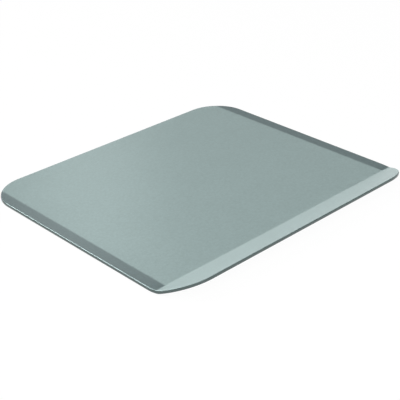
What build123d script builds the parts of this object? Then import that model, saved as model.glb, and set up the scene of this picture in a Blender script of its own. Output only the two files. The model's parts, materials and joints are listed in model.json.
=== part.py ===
"""Insulated cookie sheet: two pressed steel skins with air between them.

Millimetres. +Z is up, X runs along the long side, and the grip flange is on the -Y side.
The origin is the centre of the footprint, on the surface that the sheet rests on.
The model is drawn with the baking surface at height zero and is raised at the end.
"""
from build123d import *
from math import atan, floor, radians, tan
import os

# Overall size in plan.
sheet_length = 406.4
sheet_depth = 355.6
corner_radius = 49.0

# Flanges: width in plan from the fold to the outside of the edge, and slope in degrees.
side_flange_width = 15.8
side_flange_angle = 2.0
grip_flange_width = 38.0
grip_flange_angle = 21.5
fold_radius = 9.0

# Steel of the two skins, and the air between them.
top_thickness = 0.6
bottom_thickness = 0.5
air_gap = 3.4

# Edge: its height, its roundness, and the hem that is folded in under it.
edge_height = 4.1
edge_rounding = 1.0
hem_width = 6.5
hem_clearance = 0.3

# Spacer dimples, pressed up from the bottom skin until they touch the top one.
dimple_base_diameter = 15.0
dimple_crown_diameter = 6.0
dimple_fold_radius = 2.0
dimple_pitch = 62.0
dimple_margin = 28.0

# How far a cutting body runs past the face that it cuts.
overrun = 2.0

# Depths below the baking surface.
hem_seat_depth = edge_height - top_thickness
seam_top_depth = hem_seat_depth - bottom_thickness
pan_top_depth = top_thickness + air_gap
stack_depth = pan_top_depth + bottom_thickness

# Insets from the outline: the edge of the bottom skin, and the wall of its pan.
seam_inset = edge_rounding + hem_clearance
pan_inset = hem_width + hem_clearance

# Folds between the baking surface and the flanges.
side_fold_x = sheet_length / 2 - side_flange_width
grip_fold_y = grip_flange_width - sheet_depth / 2

# Every tool body reaches this far from the origin, well past the sheet.
tool_reach = sheet_length


def front_section(depth):
    """Section across the grip flange, in (y, z), of the space above a skin at that depth."""
    fold_y = grip_fold_y - depth * tan(radians(grip_flange_angle) / 2)
    rise = tool_reach * tan(radians(grip_flange_angle))
    slope_end = (fold_y - tool_reach, rise - depth)
    floor_end = (tool_reach, -depth)
    skin = FilletPolyline(slope_end, (fold_y, -depth), floor_end, radius=fold_radius + depth)
    lid = Polyline(floor_end, (tool_reach, rise - depth), slope_end)
    return make_face([*skin.edges(), *lid.edges()])


def side_section(depth):
    """Section across both side flanges, in (x, z), of the space above a skin at that depth."""
    fold_x = side_fold_x + depth * tan(radians(side_flange_angle) / 2)
    end_x = fold_x + tool_reach
    end_z = tool_reach * tan(radians(side_flange_angle)) - depth
    folds = [(-fold_x, -depth), (fold_x, -depth)]
    skin = FilletPolyline((-end_x, end_z), *folds, (end_x, end_z), radius=fold_radius + depth)
    lid = Polyline((end_x, end_z), (end_x, tool_reach), (-end_x, tool_reach), (-end_x, end_z))
    return make_face([*skin.edges(), *lid.edges()])


def space_above(depth):
    """Everything above a skin that runs at that depth under the baking surface."""
    across_front = extrude(Plane.YZ * front_section(depth), tool_reach, both=True)
    across_sides = extrude(Plane.XZ * side_section(depth), tool_reach, both=True)
    return across_front & across_sides


def outline_block(inset):
    """Upright block on the sheet's outline, drawn in by inset."""
    length = sheet_length - 2 * inset
    depth = sheet_depth - 2 * inset
    outline = RectangleRounded(length, depth, corner_radius - inset)
    return extrude(outline, tool_reach, both=True)


def layer(top_depth, low_depth, inset):
    """Slab between two depths, which follows the folds and fills the inset outline."""
    return (space_above(low_depth) - space_above(top_depth)) & outline_block(inset)


def rounded_edge(slab, radius):
    """The slab with both rims of its upright wall rounded."""
    wall_faces = slab.faces().filter_by(is_upright)
    wall_edges = wall_faces.edges()
    other_edges = slab.faces().filter_by(is_upright, reverse=True).edges()
    rims = [edge for edge in wall_edges if any(edge.is_same(other) for other in other_edges)]
    return fillet(ShapeList(rims), radius)


def is_upright(face):
    """True of a face of the slab's wall, whose normal is level."""
    return round(face.normal_at().Z) == 0


def make_top_sheet():
    """Baking surface with its flanges, its turned-down edge and the hem folded in under it."""
    shell = rounded_edge(layer(0, edge_height, 0), edge_rounding)
    hollow_slab = layer(top_thickness, hem_seat_depth, top_thickness)
    hollow = rounded_edge(hollow_slab, edge_rounding - top_thickness)
    mouth = layer(seam_top_depth, edge_height + overrun, hem_width)
    return shell - hollow - mouth


def make_bump(drop, stub, base_radius, crown_radius, crown_fold, base_fold):
    """Round bump on the Z axis, its crown at height zero, its foot at -drop, a stub below."""
    foot = base_radius + base_fold
    folds = [(crown_radius, 0), (base_radius, -drop)]
    skin = FilletPolyline((0, 0), *folds, (foot, -drop), radius=[crown_fold, base_fold])
    rest = Polyline((foot, -drop), (foot, -drop - stub), (0, -drop - stub), (0, 0))
    section = make_face([*skin.edges(), *rest.edges()])
    return revolve(Plane.XZ * section, Axis.Z)


def dimple_places():
    """Centres of the dimples, on an even grid over the flat part of the bottom skin."""
    low_y = grip_fold_y + dimple_margin
    span_x = 2 * (side_fold_x - dimple_margin)
    span_y = sheet_depth / 2 - dimple_margin - low_y
    columns = floor(span_x / dimple_pitch) + 1
    rows = floor(span_y / dimple_pitch) + 1
    middle = Location((0, low_y + span_y / 2))
    return [middle * place for place in GridLocations(dimple_pitch, dimple_pitch, columns, rows)]


def dimple_bodies():
    """The bump that a dimple adds above the pan and the dent that it leaves under it."""
    base_radius = dimple_base_diameter / 2
    crown_radius = dimple_crown_diameter / 2
    slope = atan(air_gap / (base_radius - crown_radius))
    shift = bottom_thickness * tan(slope / 2)
    tight = dimple_fold_radius
    wide = dimple_fold_radius + bottom_thickness
    bump = make_bump(air_gap, bottom_thickness, base_radius, crown_radius, wide, tight)
    dent = make_bump(air_gap, overrun, base_radius - shift, crown_radius - shift, tight, wide)
    return Pos(0, 0, -top_thickness) * bump, Pos(0, 0, -top_thickness - bottom_thickness) * dent


def make_bottom_sheet():
    """Shallow pan with a flat seam held in the hem, and dimples that reach the top skin."""
    seam = layer(seam_top_depth, hem_seat_depth, seam_inset)
    pan = layer(seam_top_depth, stack_depth, pan_inset)
    hollow = layer(top_thickness, pan_top_depth, pan_inset + bottom_thickness)
    bump, dent = dimple_bodies()
    bumps = [place * bump for place in dimple_places()]
    dents = [place * dent for place in dimple_places()]
    return seam + pan - hollow + bumps - dents


def main():
    os.makedirs("parts", exist_ok=True)
    nodes = {"top_sheet": make_top_sheet(), "bottom_sheet": make_bottom_sheet()}
    for name, node in nodes.items():
        raised = Pos(0, 0, stack_depth) * node
        export_step(raised, f"parts/{name}.step")
        print(name, round(raised.volume), raised.bounding_box())


main()
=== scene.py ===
"""Looks of an insulated cookie sheet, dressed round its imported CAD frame.

Metres, in the frame's own axes: X along the long side, -Y towards the grip flange, +Z up.
The sheet lies on the floor, its footprint centred on the origin.
"""

import json
import logging
import math
from dataclasses import dataclass
from enum import Enum
from functools import cached_property

import bmesh
import bpy
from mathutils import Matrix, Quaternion, Vector

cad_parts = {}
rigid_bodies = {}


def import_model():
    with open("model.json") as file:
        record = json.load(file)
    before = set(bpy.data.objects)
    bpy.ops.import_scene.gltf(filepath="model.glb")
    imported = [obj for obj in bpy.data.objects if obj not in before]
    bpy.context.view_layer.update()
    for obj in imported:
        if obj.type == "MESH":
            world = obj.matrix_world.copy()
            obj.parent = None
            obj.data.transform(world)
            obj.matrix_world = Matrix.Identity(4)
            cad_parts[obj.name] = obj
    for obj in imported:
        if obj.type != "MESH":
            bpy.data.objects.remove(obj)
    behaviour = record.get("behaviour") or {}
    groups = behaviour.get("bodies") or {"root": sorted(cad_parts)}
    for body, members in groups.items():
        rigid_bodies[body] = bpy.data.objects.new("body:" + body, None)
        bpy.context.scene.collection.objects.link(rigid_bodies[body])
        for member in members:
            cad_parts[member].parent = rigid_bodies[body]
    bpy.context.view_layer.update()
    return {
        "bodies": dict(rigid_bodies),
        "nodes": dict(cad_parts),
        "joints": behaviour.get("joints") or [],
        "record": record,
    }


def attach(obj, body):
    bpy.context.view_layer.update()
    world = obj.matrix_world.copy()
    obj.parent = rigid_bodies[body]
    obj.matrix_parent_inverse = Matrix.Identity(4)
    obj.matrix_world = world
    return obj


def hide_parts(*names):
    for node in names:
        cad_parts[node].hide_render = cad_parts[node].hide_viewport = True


LOG = logging.getLogger("cookie_sheet")
MM = 0.001
WHITE = (1.0, 1.0, 1.0, 1.0)

# Most values of a Noise texture lie between the first and the last of these.
NOISE_LOW, NOISE_MIDDLE, NOISE_HIGH = 0.3, 0.5, 0.7


def linear(code: str) -> tuple[float, float, float, float]:
    """Turns an sRGB hex colour into a linear RGBA value.

    Args:
        code: Six hex digits, with or without a leading hash.

    Returns:
        Linear red, green and blue, with an alpha of one.
    """
    digits = code.lstrip("#")
    values = [int(digits[i:i + 2], 16) / 255 for i in (0, 2, 4)]
    red, green, blue = (v / 12.92 if v <= 0.04045 else ((v + 0.055) / 1.055) ** 2.4 for v in values)
    return red, green, blue, 1.0


def add_node(tree: bpy.types.NodeTree, kind: str, settings: dict | None = None,
             **inputs: object) -> bpy.types.Node:
    """Adds a node, sets it up and links or fills its inputs.

    Args:
        tree: Tree that takes the node.
        kind: Node type, such as ShaderNodeMath.
        settings: Properties of the node, by name.
        inputs: Sockets by name or, for names such as s0, by number. A value is a socket to
            link from or a plain value to set.

    Returns:
        The new node.
    """
    node = tree.nodes.new(kind)
    for name, value in (settings or {}).items():
        setattr(node, name, value)
    for name, value in inputs.items():
        key = int(name[1:]) if name[0] == "s" and name[1:].isdigit() else name.replace("_", " ")
        if isinstance(value, bpy.types.NodeSocket):
            tree.links.new(value, node.inputs[key])
        else:
            node.inputs[key].default_value = value
    return node


def math_node(tree: bpy.types.NodeTree, operation: str, *values: object) -> bpy.types.NodeSocket:
    """Adds a Math node with that operation and those inputs, and returns its output."""
    inputs = {f"s{i}": value for i, value in enumerate(values)}
    return add_node(tree, "ShaderNodeMath", {"operation": operation}, **inputs).outputs[0]


class Skin(Enum):
    """The sheet's two skins, by the names of their CAD nodes."""

    TOP = "top_sheet"
    BOTTOM = "bottom_sheet"


@dataclass(frozen=True)
class SheetForm:
    """Sizes of the sheet that its skins and its finish follow, in metres and degrees.

    The mitre crease is where the grip flange meets a side flange. Its blend is how far it is
    softened where it meets the rim, and its reach how wide.
    """

    half_length: float = 203.2 * MM
    half_depth: float = 177.8 * MM
    corner_radius: float = 49.0 * MM
    side_fold_x: float = 187.4 * MM
    grip_fold_y: float = -139.8 * MM
    side_slope: float = 2.0
    grip_slope: float = 21.5
    fold_radius: float = 9.0 * MM
    crease_blend: float = 3.0 * MM
    crease_reach: float = 12.0 * MM
    surface_z: float = 4.5 * MM
    edge_height: float = 4.1 * MM
    skin: float = 0.6 * MM
    top_rounding: float = 1.5 * MM
    low_rounding: float = 1.0 * MM
    hem_width: float = 6.5 * MM

    @property
    def mitre_run(self) -> float:
        """How far the mitre crease moves along -Y for each metre that it moves outwards."""
        return math.tan(math.radians(self.side_slope)) / math.tan(math.radians(self.grip_slope))


class CoatZones:
    """Masks over the coat that follow the sheet's form, from Object coordinates.

    Each fade says where a mask starts and ends: past the side fold, behind the mitre crease, or
    in from the outline.
    """

    FOLD_FADE = (-1.6 * MM, 2.0 * MM)
    CREASE_FADE = (-1.2 * MM, 1.6 * MM)
    CREASE_SHADE_FADE = (0.0, 16.0 * MM)
    WALL_FADE = (0.35 * MM, 0.75 * MM)
    FLANGE_FADE = (0.6 * MM, 1.0 * MM)
    RIM_FADE = (1.4 * MM, 2.4 * MM)

    def __init__(self, tree: bpy.types.NodeTree, form: SheetForm) -> None:
        """Reads the coordinates and keeps the tree and the form.

        Args:
            tree: Material's tree, which takes the nodes.
            form: Sizes that the masks follow.
        """
        self.tree = tree
        self.form = form
        self.place = add_node(tree, "ShaderNodeTexCoord").outputs["Object"]
        split = add_node(tree, "ShaderNodeSeparateXYZ", Vector=self.place)
        self.x = self.math("ABSOLUTE", split.outputs["X"])
        self.y = split.outputs["Y"]

    def math(self, operation: str, *values: object) -> bpy.types.NodeSocket:
        """Adds a Math node with that operation and those inputs."""
        return math_node(self.tree, operation, *values)

    def ramp(self, value: bpy.types.NodeSocket, fade: tuple[float, float]) -> bpy.types.NodeSocket:
        """A smooth step from zero at the fade's start to one at its end."""
        settings = {"interpolation_type": "SMOOTHSTEP"}
        return add_node(self.tree, "ShaderNodeMapRange", settings, Value=value,
                        From_Min=fade[0], From_Max=fade[1]).outputs["Result"]

    def inverse(self, mask: bpy.types.NodeSocket) -> bpy.types.NodeSocket:
        """One where the mask is zero, and zero where it is one."""
        return self.math("SUBTRACT", 1.0, mask)

    def behind_crease(self) -> bpy.types.NodeSocket:
        """Distance from the mitre crease, positive towards the open edge."""
        past_fold = self.math("SUBTRACT", self.x, self.form.side_fold_x)
        outwards = self.math("MAXIMUM", past_fold, 0.0)
        crease = self.math("MULTIPLY_ADD", outwards, self.form.mitre_run, -self.form.grip_fold_y)
        return self.math("ADD", self.y, crease)

    def crease_shade(self) -> bpy.types.NodeSocket:
        """One in the crook of the mitre crease, where shade is painted, fading along the side
        flange.
        """
        return self.inverse(self.ramp(self.behind_crease(), self.CREASE_SHADE_FADE))

    def flange_shade(self) -> bpy.types.NodeSocket:
        """One on the side flanges, where shade is painted; zero on the baking surface and on the
        grip flange.
        """
        past_fold = self.math("SUBTRACT", self.x, self.form.side_fold_x)
        across = self.ramp(past_fold, self.FOLD_FADE)
        along = self.ramp(self.behind_crease(), self.CREASE_FADE)
        within = self.ramp(self.inset, self.FLANGE_FADE)
        return self.math("MULTIPLY", self.math("MULTIPLY", across, along), within)

    @cached_property
    def rim(self) -> bpy.types.NodeSocket:
        """One on the turned-down edge and its rounded corner, zero on the top face."""
        return self.inverse(self.ramp(self.inset, self.RIM_FADE))

    def wall_shade(self) -> bpy.types.NodeSocket:
        """One on the turned-down edge, where shade is painted; zero from just inside its rounded top
        corner.
        """
        return self.inverse(self.ramp(self.inset, self.WALL_FADE))

    @cached_property
    def inset(self) -> bpy.types.NodeSocket:
        """Distance in plan from the outline, positive inwards."""
        form = self.form
        settings = {"operation": "ABSOLUTE"}
        near = add_node(self.tree, "ShaderNodeVectorMath", settings, s0=self.place).outputs[0]
        reach = (form.half_length - form.corner_radius, form.half_depth - form.corner_radius, 1.0)
        past = add_node(self.tree, "ShaderNodeVectorMath", {"operation": "SUBTRACT"},
                        s0=near, s1=reach).outputs[0]
        split = add_node(self.tree, "ShaderNodeSeparateXYZ", Vector=past)
        low = add_node(self.tree, "ShaderNodeVectorMath", {"operation": "MAXIMUM"},
                       s0=past, s1=(0.0, 0.0, 0.0)).outputs[0]
        outside = add_node(self.tree, "ShaderNodeVectorMath", {"operation": "LENGTH"},
                           s0=low).outputs["Value"]
        deepest = self.math("MAXIMUM", split.outputs["X"], split.outputs["Y"])
        inside = self.math("MINIMUM", deepest, 0.0)
        distance = self.math("ADD", outside, inside)
        return self.math("SUBTRACT", form.corner_radius, distance)


@dataclass(frozen=True)
class NonStickCoat:
    """Satin non-stick coat, sprayed on pressed steel and baked.

    The eye sees a grey-green satin: fine metal flakes give a soft sheen, the spray leaves a slight
    grain, and the bent rim is a little smoother. The side flanges, the crook of the mitre crease and
    the turned-down edge carry painted shade.
    """

    # The real grain is a few tenths of a millimetre and is drawn coarser, so that it shows at all.

    name: str = "satin_nonstick_coat"
    body: str = "#9aadac"
    # Painted shade: a darker tone on the side flanges.
    flange: str = "#718081"
    # Painted shade in the crook of the mitre crease, darker still.
    crease_shade: str = "#667677"
    # Painted shade on the turned-down edge.
    edge: str = "#546261"
    grain_size: float = 2.8 * MM
    grain_height: float = 0.05 * MM
    grain_strength: float = 0.12
    flake_spread: float = 0.07
    drift_size: float = 70.0 * MM
    drift_spread: float = 0.012
    roughness: float = 0.32
    roughness_spread: float = 0.035
    rim_polish: float = 0.05
    metallic: float = 0.3

    def build(self, form: SheetForm) -> bpy.types.Material:
        """Builds the coat's material.

        Args:
            form: Sizes that the painted shade on the side flanges and edge, and the bright rim
                follow.

        Returns:
            The finished material.
        """
        material = bpy.data.materials.new(self.name)
        material.use_nodes = True
        tree = material.node_tree
        tree.nodes.clear()
        zones = CoatZones(tree, form)
        flakes = self.noise(tree, zones, self.grain_size)
        shader = add_node(tree, "ShaderNodeBsdfPrincipled", Metallic=self.metallic,
                          Base_Color=self.colour(tree, zones, flakes),
                          Roughness=self.sheen(tree, zones, flakes),
                          Normal=self.grain(tree, zones))
        add_node(tree, "ShaderNodeOutputMaterial", Surface=shader.outputs["BSDF"])
        return material

    def noise(self, tree: bpy.types.NodeTree, zones: CoatZones, size: float,
              detail: float = 3.0) -> bpy.types.NodeSocket:
        """Noise of that size, which fades to its middle value on the rim."""
        noise = add_node(tree, "ShaderNodeTexNoise", Vector=zones.place, Scale=1 / size,
                         Detail=detail, Roughness=0.6).outputs["Fac"]
        return add_node(tree, "ShaderNodeMix", s0=zones.rim, s2=noise, s3=NOISE_MIDDLE).outputs[0]

    def spread(self, tree: bpy.types.NodeTree, noise: bpy.types.NodeSocket, middle: float,
               reach: float) -> bpy.types.NodeSocket:
        """Spreads a noise evenly about a middle value, by reach to either side."""
        return add_node(tree, "ShaderNodeMapRange", Value=noise, From_Min=NOISE_LOW,
                        From_Max=NOISE_HIGH, To_Min=middle - reach,
                        To_Max=middle + reach).outputs["Result"]

    def colour(self, tree: bpy.types.NodeTree, zones: CoatZones,
               flakes: bpy.types.NodeSocket) -> bpy.types.NodeSocket:
        """Colour of the coat: painted shade on the side flanges, crease and edge, slow drift and
        fine flakes.

        Args:
            tree: Material's tree.
            zones: Masks of the coat.
            flakes: Noise of the metal flakes.

        Returns:
            The colour.
        """
        # Painted shade: the side flanges darker, the crook of the mitre crease darker still, the
        # turned-down edge darkest.
        side = add_node(tree, "ShaderNodeMix", {"data_type": "RGBA"}, s0=zones.crease_shade(),
                        s6=linear(self.flange), s7=linear(self.crease_shade)).outputs[2]
        flange = add_node(tree, "ShaderNodeMix", {"data_type": "RGBA"}, s0=zones.flange_shade(),
                          s6=linear(self.body), s7=side).outputs[2]
        edge = add_node(tree, "ShaderNodeMix", {"data_type": "RGBA"}, s0=zones.wall_shade(),
                        s6=flange, s7=linear(self.edge)).outputs[2]
        drift = self.noise(tree, zones, self.drift_size, 2.0)
        tone = zones.math("MULTIPLY", self.spread(tree, drift, 1.0, self.drift_spread),
                          self.spread(tree, flakes, 1.0, self.flake_spread))
        return add_node(tree, "ShaderNodeVectorMath", {"operation": "SCALE"}, s0=edge,
                        Scale=tone).outputs[0]

    def sheen(self, tree: bpy.types.NodeTree, zones: CoatZones,
              flakes: bpy.types.NodeSocket) -> bpy.types.NodeSocket:
        """Roughness of the coat: uneven with the flakes, and rubbed smoother along the rim.

        Args:
            tree: Material's tree.
            zones: Masks of the coat.
            flakes: Noise of the metal flakes.

        Returns:
            The roughness.
        """
        uneven = self.spread(tree, flakes, self.roughness, self.roughness_spread)
        polish = zones.math("MULTIPLY", zones.rim, self.rim_polish)
        return zones.math("SUBTRACT", uneven, polish)

    def grain(self, tree: bpy.types.NodeTree, zones: CoatZones) -> bpy.types.NodeSocket:
        """Normal of the coat, with the slight grain that spraying leaves."""
        peel = self.noise(tree, zones, self.grain_size, 1.0)
        return add_node(tree, "ShaderNodeBump", Height=peel, Strength=self.grain_strength,
                        Distance=self.grain_height).outputs["Normal"]


def arc(centre: tuple[float, float], radius: float, start: float, end: float,
        steps: int) -> list[tuple[float, float]]:
    """Points along an arc, both ends included.

    Args:
        centre: Centre of the arc.
        radius: Its radius.
        start: Angle of the first point, in degrees.
        end: Angle of the last point, in degrees.
        steps: Number of equal parts.

    Returns:
        The points, in order.
    """
    turns = [math.radians(start + (end - start) * i / steps) for i in range(steps + 1)]
    return [(centre[0] + radius * math.cos(t), centre[1] + radius * math.sin(t)) for t in turns]


@dataclass
class HemmedBlank:
    """Flat steel blank with its edge turned down and folded under, before it is pressed.

    The steps are those of its arcs. The cuts are places, measured from a fold, where it is cut so
    that it can bend, and the hold is a narrow strip that keeps the shading of a flat face flat.
    """

    form: SheetForm
    corner_steps: int = 32
    top_steps: int = 8
    low_steps: int = 6
    side_pitch: float = 14.0 * MM
    cell: float = 26.0 * MM
    hold: float = 0.3 * MM
    side_cuts: tuple[float, ...] = (-0.6 * MM, -0.16 * MM, 0.16 * MM, 0.6 * MM)
    grip_cut_start: float = 2.2 * MM
    grip_cut_pitch: float = 0.45 * MM
    grip_cut_count: int = 14
    crease_cuts: int = 8
    weld: float = 0.001 * MM
    sharp_angle: float = 50.0

    def section(self) -> list[tuple[float, float]]:
        """Draws the section through the edge, from the top face round to the skin's underside.

        Returns:
            Its points, each as inset and depth.
        """
        form = self.form
        skin, top, low = form.skin, form.top_rounding, form.low_rounding
        bottom = form.edge_height
        inner_top, inner_low = top - skin, low - skin
        points = [(top + self.hold, 0.0)]
        points += arc((top, top), top, 270.0, 180.0, self.top_steps)
        points += arc((low, bottom - low), low, 180.0, 90.0, self.low_steps)
        points += [(low + self.hold, bottom), (form.hem_width, bottom)]
        points += [(form.hem_width, bottom - skin), (low + self.hold, bottom - skin)]
        points += arc((low, bottom - low), inner_low, 90.0, 180.0, self.low_steps // 2)
        points += arc((top, top), inner_top, 180.0, 270.0, self.top_steps // 2)
        return points + [(top + self.hold, skin)]

    def outline(self, inset: float) -> list[tuple[float, float]]:
        """Draws the outline, anticlockwise, with the same number of points for every inset.

        Args:
            inset: Distance in plan from the sheet's outline.

        Returns:
            The points.
        """
        form = self.form
        reach_x = form.half_length - form.corner_radius
        reach_y = form.half_depth - form.corner_radius
        radius = form.corner_radius - inset
        corners = ((reach_x, -reach_y, -90.0), (reach_x, reach_y, 0.0),
                   (-reach_x, reach_y, 90.0), (-reach_x, -reach_y, 180.0))
        points = []
        for x, y, start in corners:
            turn = arc((x, y), radius, start, start + 90.0, self.corner_steps)
            if points:
                points += self.straight(points[-1], turn[0])
            points += turn
        return points + self.straight(points[-1], points[0])

    def straight(self, start: tuple[float, float], end: tuple[float, float]) -> list[tuple]:
        """Points between two ends of a straight side, without the ends."""
        steps = round(math.dist(start, end) / self.side_pitch)
        return [(start[0] + (end[0] - start[0]) * i / steps,
                 start[1] + (end[1] - start[1]) * i / steps) for i in range(1, steps)]

    def build(self) -> bpy.types.Mesh:
        """Builds the blank, its heights kept as depths under the top face.

        Returns:
            A closed mesh that lies flat, with the depth of each point as an attribute.
        """
        work = bmesh.new()
        rings = []
        for inset, depth in self.section():
            rings.append([work.verts.new((x, y, -depth)) for x, y in self.outline(inset)])
        for upper, lower in zip(rings, rings[1:]):
            for i, start in enumerate(upper):
                after = (i + 1) % len(upper)
                work.faces.new((start, lower[i], lower[after], upper[after]))
        work.faces.new(rings[0])
        work.faces.new(rings[-1][::-1])
        self.crease(work)
        mesh = bpy.data.meshes.new("hemmed_blank")
        work.to_mesh(mesh)
        work.free()
        depths = mesh.attributes.new("depth", "FLOAT", "POINT")
        depths.data.foreach_set("value", [-v.co.z for v in mesh.vertices])
        mesh.set_sharp_from_angle(angle=math.radians(self.sharp_angle))
        return mesh

    def crease(self, work: bmesh.types.BMesh) -> None:
        """Cuts the blank along its folds and into cells, so that it bends cleanly.

        Args:
            work: The blank, whose faces are cut.
        """
        form = self.form
        for side in (-1.0, 1.0):
            for past in self.side_cuts:
                self.cut(work, (side * (form.side_fold_x + past), 0.0), (1.0, 0.0))
            # These lie closer together towards the crease.
            for i in range(-self.crease_cuts, self.crease_cuts + 1):
                past = form.crease_reach * i * abs(i) / self.crease_cuts ** 2
                place = (side * form.side_fold_x, form.grip_fold_y + past)
                self.cut(work, place, (side * form.mitre_run, 1.0), side)
        for i in range(self.grip_cut_count):
            behind = self.grip_cut_start - self.grip_cut_pitch * i
            self.cut(work, (0.0, form.grip_fold_y + behind), (0.0, 1.0))
        for across, size in ((0, form.side_fold_x), (1, form.half_depth)):
            steps = round(2 * size / self.cell)
            for i in range(1, steps):
                at = -size + 2 * size * i / steps
                self.cut(work, (at, 0.0) if across == 0 else (0.0, at), (1 - across, across))

    def cut(self, work: bmesh.types.BMesh, place: tuple, normal: tuple, side: float = 0.0) -> None:
        """Cuts the blank along an upright plane.

        Args:
            work: The blank.
            place: A point on the plane, in plan.
            normal: Direction across the plane, in plan.
            side: Where it isn't zero, only the faces past the fold on that side are cut.
        """
        limit = self.form.side_fold_x
        faces = [f for f in work.faces if not side or f.calc_center_median().x * side > limit]
        parts = {part for face in faces for part in (face, *face.edges, *face.verts)}
        bmesh.ops.bisect_plane(work, geom=list(parts), dist=self.weld,
                               plane_co=(*place, 0.0), plane_no=(*normal, 0.0))


@dataclass
class PressForming:
    """Node tree that presses the flat blank: grip flange at the front and a flange each side."""

    form: SheetForm
    coat: bpy.types.Material
    tolerance: float = 0.02 * MM

    def tree(self) -> bpy.types.NodeTree:
        """Builds the tree, with the places, angles and radius of the folds as inputs.

        Returns:
            The tree, which moves each point of a blank by its depth under the top face.
        """
        tree = bpy.data.node_groups.new("press_forming", "GeometryNodeTree")
        face = tree.interface
        face.new_socket("Geometry", in_out="INPUT", socket_type="NodeSocketGeometry")
        for name in self.sizes():
            face.new_socket(name, in_out="INPUT", socket_type="NodeSocketFloat")
        face.new_socket("Coat", in_out="INPUT", socket_type="NodeSocketMaterial")
        face.new_socket("Geometry", in_out="OUTPUT", socket_type="NodeSocketGeometry")
        given = add_node(tree, "NodeGroupInput").outputs
        place = add_node(tree, "GeometryNodeInputPosition").outputs[0]
        split = add_node(tree, "ShaderNodeSeparateXYZ", Vector=place)
        depth = add_node(tree, "GeometryNodeInputNamedAttribute", {"data_type": "FLOAT"},
                         Name="depth").outputs["Attribute"]
        radius = math_node(tree, "ADD", given["Fold Radius"], depth)
        past_side = math_node(tree, "SUBTRACT", math_node(tree, "ABSOLUTE", split.outputs["X"]),
                              given["Side Fold"])
        past_grip = math_node(tree, "SUBTRACT", given["Grip Fold"], split.outputs["Y"])
        side = self.rise(tree, past_side, depth, radius, given["Side Angle"])
        grip = self.rise(tree, past_grip, depth, radius, given["Grip Angle"])
        blend = self.blend(tree, past_side, past_grip, depth, given)
        low = math_node(tree, "SUBTRACT", given["Surface Height"], depth)
        height = math_node(tree, "ADD", low, math_node(tree, "SMOOTH_MAX", side, grip, blend))
        pressed = add_node(tree, "ShaderNodeCombineXYZ", X=split.outputs["X"],
                           Y=split.outputs["Y"], Z=height).outputs[0]
        moved = add_node(tree, "GeometryNodeSetPosition", Geometry=given["Geometry"],
                         Position=pressed).outputs[0]
        smooth = add_node(tree, "GeometryNodeSetShadeSmooth", Geometry=moved).outputs[0]
        real = add_node(tree, "GeometryNodeRealizeInstances", Geometry=smooth).outputs[0]
        coated = add_node(tree, "GeometryNodeSetMaterial", Geometry=real, Material=given["Coat"])
        add_node(tree, "NodeGroupOutput", Geometry=coated.outputs[0])
        return tree

    def rise(self, tree: bpy.types.NodeTree, past: bpy.types.NodeSocket,
             depth: bpy.types.NodeSocket, radius: bpy.types.NodeSocket,
             angle: bpy.types.NodeSocket) -> bpy.types.NodeSocket:
        """Height that one fold adds.

        Args:
            tree: Tree that takes the nodes.
            past: Distance past the fold of the top face.
            depth: Depth of the point under the top face.
            radius: Radius of the bend at that depth.
            angle: Slope past the fold, in radians.

        Returns:
            The height: zero before the bend, an arc in it and a slope past it.
        """
        half = math_node(tree, "TANGENT", math_node(tree, "MULTIPLY", angle, 0.5))
        top_radius = math_node(tree, "SUBTRACT", radius, depth)
        into = math_node(tree, "MULTIPLY_ADD", top_radius, half, past)
        chord = math_node(tree, "MULTIPLY", radius, math_node(tree, "SINE", angle))
        along = math_node(tree, "MINIMUM", math_node(tree, "MAXIMUM", into, 0.0), chord)
        square = math_node(tree, "SUBTRACT", math_node(tree, "MULTIPLY", radius, radius),
                           math_node(tree, "MULTIPLY", along, along))
        bend = math_node(tree, "SUBTRACT", radius, math_node(tree, "SQRT", square))
        beyond = math_node(tree, "MAXIMUM", math_node(tree, "SUBTRACT", into, chord), 0.0)
        return math_node(tree, "MULTIPLY_ADD", beyond, math_node(tree, "TANGENT", angle), bend)

    def blend(self, tree: bpy.types.NodeTree, past_side: bpy.types.NodeSocket,
              past_grip: bpy.types.NodeSocket, depth: bpy.types.NodeSocket,
              given: bpy.types.NodeOutputs) -> bpy.types.NodeSocket:
        """How far the two flanges run into each other: most on the crease, where it meets the rim.

        Args:
            tree: Tree that takes the nodes.
            past_side: Distance past the side fold.
            past_grip: Distance past the grip fold.
            depth: Depth of the point under the top face.
            given: The tree's inputs.

        Returns:
            The distance of the blend: zero on the seat of the lower skin's seam, so that the lip
            doesn't rise into it.
        """
        crease = math_node(tree, "MULTIPLY", past_side, self.form.mitre_run)
        away = math_node(tree, "ABSOLUTE", math_node(tree, "SUBTRACT", crease, past_grip))
        near = add_node(tree, "ShaderNodeMapRange", {"interpolation_type": "SMOOTHSTEP"}, Value=away,
                        From_Max=given["Crease Reach"], To_Min=1.0, To_Max=0.0).outputs["Result"]
        out = add_node(tree, "ShaderNodeMapRange", Value=past_side,
                       From_Max=given["Crease Reach"]).outputs["Result"]
        seat = math_node(tree, "COMPARE", depth, given["Seam Seat"], self.tolerance)
        share = math_node(tree, "MULTIPLY", math_node(tree, "MULTIPLY", near, out),
                          math_node(tree, "SUBTRACT", 1.0, seat))
        return math_node(tree, "MULTIPLY", share, given["Crease Blend"])

    def sizes(self) -> dict[str, float]:
        """The tree's inputs, by name."""
        form = self.form
        return {
            "Side Fold": form.side_fold_x,
            "Side Angle": math.radians(form.side_slope),
            "Grip Fold": form.grip_fold_y,
            "Grip Angle": math.radians(form.grip_slope),
            "Fold Radius": form.fold_radius,
            "Crease Blend": form.crease_blend,
            "Crease Reach": form.crease_reach,
            "Seam Seat": form.edge_height - form.skin,
            "Surface Height": form.surface_z,
        }

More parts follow.
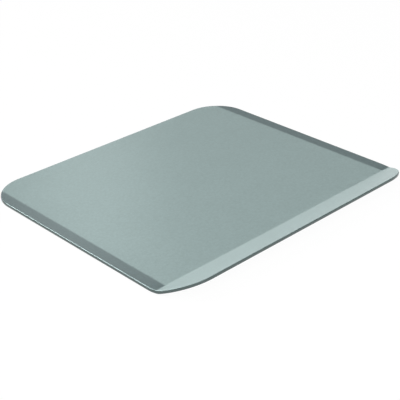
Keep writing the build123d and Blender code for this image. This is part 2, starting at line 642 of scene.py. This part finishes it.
    def press(self, blank: bpy.types.Mesh, name: str) -> bpy.types.Object:
        """Presses a blank.

        Args:
            blank: The flat mesh.
            name: Name of the finished piece.

        Returns:
            The pressed piece, as a plain mesh.
        """
        piece = bpy.data.objects.new(name, blank)
        bpy.context.scene.collection.objects.link(piece)
        press = piece.modifiers.new("press_forming", "NODES")
        press.node_group = self.tree()
        values = {**self.sizes(), "Coat": self.coat}
        for item in press.node_group.interface.items_tree:
            if item.in_out == "INPUT" and item.name in values:
                press[item.identifier] = values[item.name]
        bpy.context.view_layer.update()
        ready = piece.evaluated_get(bpy.context.evaluated_depsgraph_get())
        mesh = bpy.data.meshes.new_from_object(ready)
        mesh.name = name
        piece.modifiers.clear()
        piece.data = mesh
        return piece


@dataclass
class TopSkin:
    """Pressed top skin: baking surface, flanges, turned-down edge and hem."""

    form: SheetForm
    coat: NonStickCoat

    def build(self) -> bpy.types.Object:
        """Presses the skin from its blank and puts it in the place of its CAD node.

        Returns:
            The finished skin.
        """
        blank = HemmedBlank(self.form).build()
        coat = self.coat.build(self.form)
        piece = PressForming(self.form, coat).press(blank, "pressed_top_skin")
        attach(piece, "root")
        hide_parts(Skin.TOP.value)
        LOG.info("%s: %d faces", piece.name, len(piece.data.polygons))
        return piece


@dataclass
class BottomSkin:
    """Bottom skin with its spacer dimples, which keeps its CAD shape and gets its coat."""

    form: SheetForm
    coat: NonStickCoat

    def dress(self, frame: dict) -> None:
        """Gives the CAD node its coat.
        """
        mesh = frame["nodes"][Skin.BOTTOM.value].data
        mesh.materials.clear()
        mesh.materials.append(self.coat.build(self.form))
        LOG.info("%s: %s", Skin.BOTTOM.value, self.coat.name)


@dataclass(frozen=True)
class SoftLamp:
    """Rectangular studio lamp that faces a point."""

    name: str
    place: tuple[float, float, float]
    width: float
    height: float
    power: float
    target: tuple[float, float, float] = (0.0, 0.0, 0.0)

    def build(self) -> bpy.types.Object:
        """Makes the lamp and turns it to its target.

        Returns:
            The lamp.
        """
        data = bpy.data.lights.new(self.name, "AREA")
        data.shape = "RECTANGLE"
        data.size = self.width
        data.size_y = self.height
        data.energy = self.power
        lamp = bpy.data.objects.new(self.name, data)
        bpy.context.scene.collection.objects.link(lamp)
        lamp.visible_camera = False
        lamp.location = self.place
        aim = Vector(self.target) - Vector(self.place)
        lamp.rotation_euler = aim.to_track_quat("-Z", "Y").to_euler()
        return lamp


@dataclass(frozen=True)
class PhotoCamera:
    """Camera where the photo was taken from: its place, aim, roll in degrees, and lens."""

    place: tuple[float, float, float] = (-0.7639, -0.8038, 0.5841)
    target: tuple[float, float, float] = (-0.02, -0.0236, 0.0)
    roll: float = -0.918
    lens: float = 89.56
    sensor: float = 36.0
    shift_x: float = -0.0075
    shift_y: float = -0.0036

    def build(self) -> bpy.types.Object:
        """Makes the camera, turns it to its target and gives it to the scene.

        Returns:
            The camera.
        """
        data = bpy.data.cameras.new("photo_camera")
        data.sensor_width = self.sensor
        data.lens = self.lens
        data.shift_x = self.shift_x
        data.shift_y = self.shift_y
        camera = bpy.data.objects.new("photo_camera", data)
        bpy.context.scene.collection.objects.link(camera)
        aim = Vector(self.target) - Vector(self.place)
        roll = Quaternion((0.0, 0.0, 1.0), math.radians(self.roll))
        camera.location = self.place
        camera.rotation_euler = (aim.to_track_quat("-Z", "Y") @ roll).to_euler()
        bpy.context.scene.camera = camera
        return camera


class Studio:
    """Pale floor, soft lamps, pale surroundings and the camera at the photo's angle.

    The surroundings fade out upwards between the two ends of the fade, as the sine of the height.
    """

    FLOOR_REACH = 6.0
    FLOOR_DROP = 0.3 * MM
    FLOOR_WHITE = 0.97
    BACKDROP = 1.10
    BACKDROP_FADE = (0.05, 0.5)
    LAMPS = (
        SoftLamp("key_lamp", (0.65, 1.125, 0.75), 0.3, 0.5, 0.385),
        SoftLamp("rim_lamp", (-0.9, 1.92, 2.12), 1.0, 1.7, 61.0),
        SoftLamp("top_lamp", (-0.364, -0.519, 1.359), 1.6, 1.6, 23.6),
    )

    def build(self) -> None:
        """Makes the floor, the surroundings, the lamps and the camera."""
        self.floor()
        self.surroundings()
        for lamp in self.LAMPS:
            lamp.build()
            LOG.info("lamp: %s", lamp.name)
        PhotoCamera().build()

    def floor(self) -> None:
        """Makes a plain pale floor that shows almost white and keeps the sheet's shadow.

        It is clear from below and to the light that comes up, so that the underside shows too.
        """
        half, low = self.FLOOR_REACH, -self.FLOOR_DROP
        mesh = bpy.data.meshes.new("floor")
        corners = [(-half, -half, low), (half, -half, low), (half, half, low), (-half, half, low)]
        mesh.from_pydata(corners, [], [(0, 1, 2, 3)])
        floor = bpy.data.objects.new("floor", mesh)
        bpy.context.scene.collection.objects.link(floor)
        # Matt white paper: an even white without gloss, a touch greyer in the shadow.
        material = bpy.data.materials.new("matt_white_paper")
        material.use_nodes = True
        tree = material.node_tree
        tree.nodes.clear()
        paper = add_node(tree, "ShaderNodeBsdfDiffuse", Color=linear("#f4f4f4"))
        glow = add_node(tree, "ShaderNodeEmission", Color=WHITE, Strength=1.0)
        rays = add_node(tree, "ShaderNodeLightPath").outputs
        mirrored = math_node(tree, "MAXIMUM", rays["Is Glossy Ray"], rays["Is Transmission Ray"])
        seen = math_node(tree, "MAXIMUM", rays["Is Camera Ray"], mirrored)
        share = math_node(tree, "MULTIPLY", seen, self.FLOOR_WHITE)
        mix = add_node(tree, "ShaderNodeMixShader", Fac=share, s1=paper.outputs["BSDF"],
                       s2=glow.outputs["Emission"])
        below = add_node(tree, "ShaderNodeNewGeometry").outputs["Backfacing"]
        clear = math_node(tree, "MAXIMUM", below, rays["Is Diffuse Ray"])
        through = add_node(tree, "ShaderNodeBsdfTransparent")
        surface = add_node(tree, "ShaderNodeMixShader", Fac=clear, s1=mix.outputs["Shader"],
                           s2=through.outputs["BSDF"])
        add_node(tree, "ShaderNodeOutputMaterial", Surface=surface.outputs["Shader"])
        mesh.materials.append(material)

    def surroundings(self) -> None:
        """Lights the sheet from all round, bright at the horizon and dark overhead."""
        world = bpy.data.worlds.new("pale_studio")
        world.use_nodes = True
        bpy.context.scene.world = world
        tree = world.node_tree
        tree.nodes.clear()
        way = add_node(tree, "ShaderNodeTexCoord").outputs["Generated"]
        height = add_node(tree, "ShaderNodeSeparateXYZ", Vector=way).outputs["Z"]
        settings = {"interpolation_type": "SMOOTHSTEP"}
        low, high = self.BACKDROP_FADE
        glow = add_node(tree, "ShaderNodeMapRange", settings, Value=height, From_Min=low,
                        From_Max=high, To_Min=self.BACKDROP, To_Max=0.0)
        white = add_node(tree, "ShaderNodeBackground", Color=WHITE,
                         Strength=glow.outputs["Result"])
        add_node(tree, "ShaderNodeOutputWorld", Surface=white.outputs["Background"])


def main() -> None:
    """Loads the frame, dresses the sheet and builds the studio."""
    logging.basicConfig(level=logging.INFO, format="%(name)s: %(message)s")
    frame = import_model()
    bpy.context.scene.view_settings.view_transform = "Standard"
    form = SheetForm()
    TopSkin(form, NonStickCoat()).build()
    # The underside's coat is thinner: a darker, duller grey, the same on the whole skin.
    under = NonStickCoat("thin_underside_coat", "#6f7a7a", "#6f7a7a", "#6f7a7a", roughness=0.42)
    BottomSkin(form, under).dress(frame)
    Studio().build()


if __name__ == "__main__":
    main()
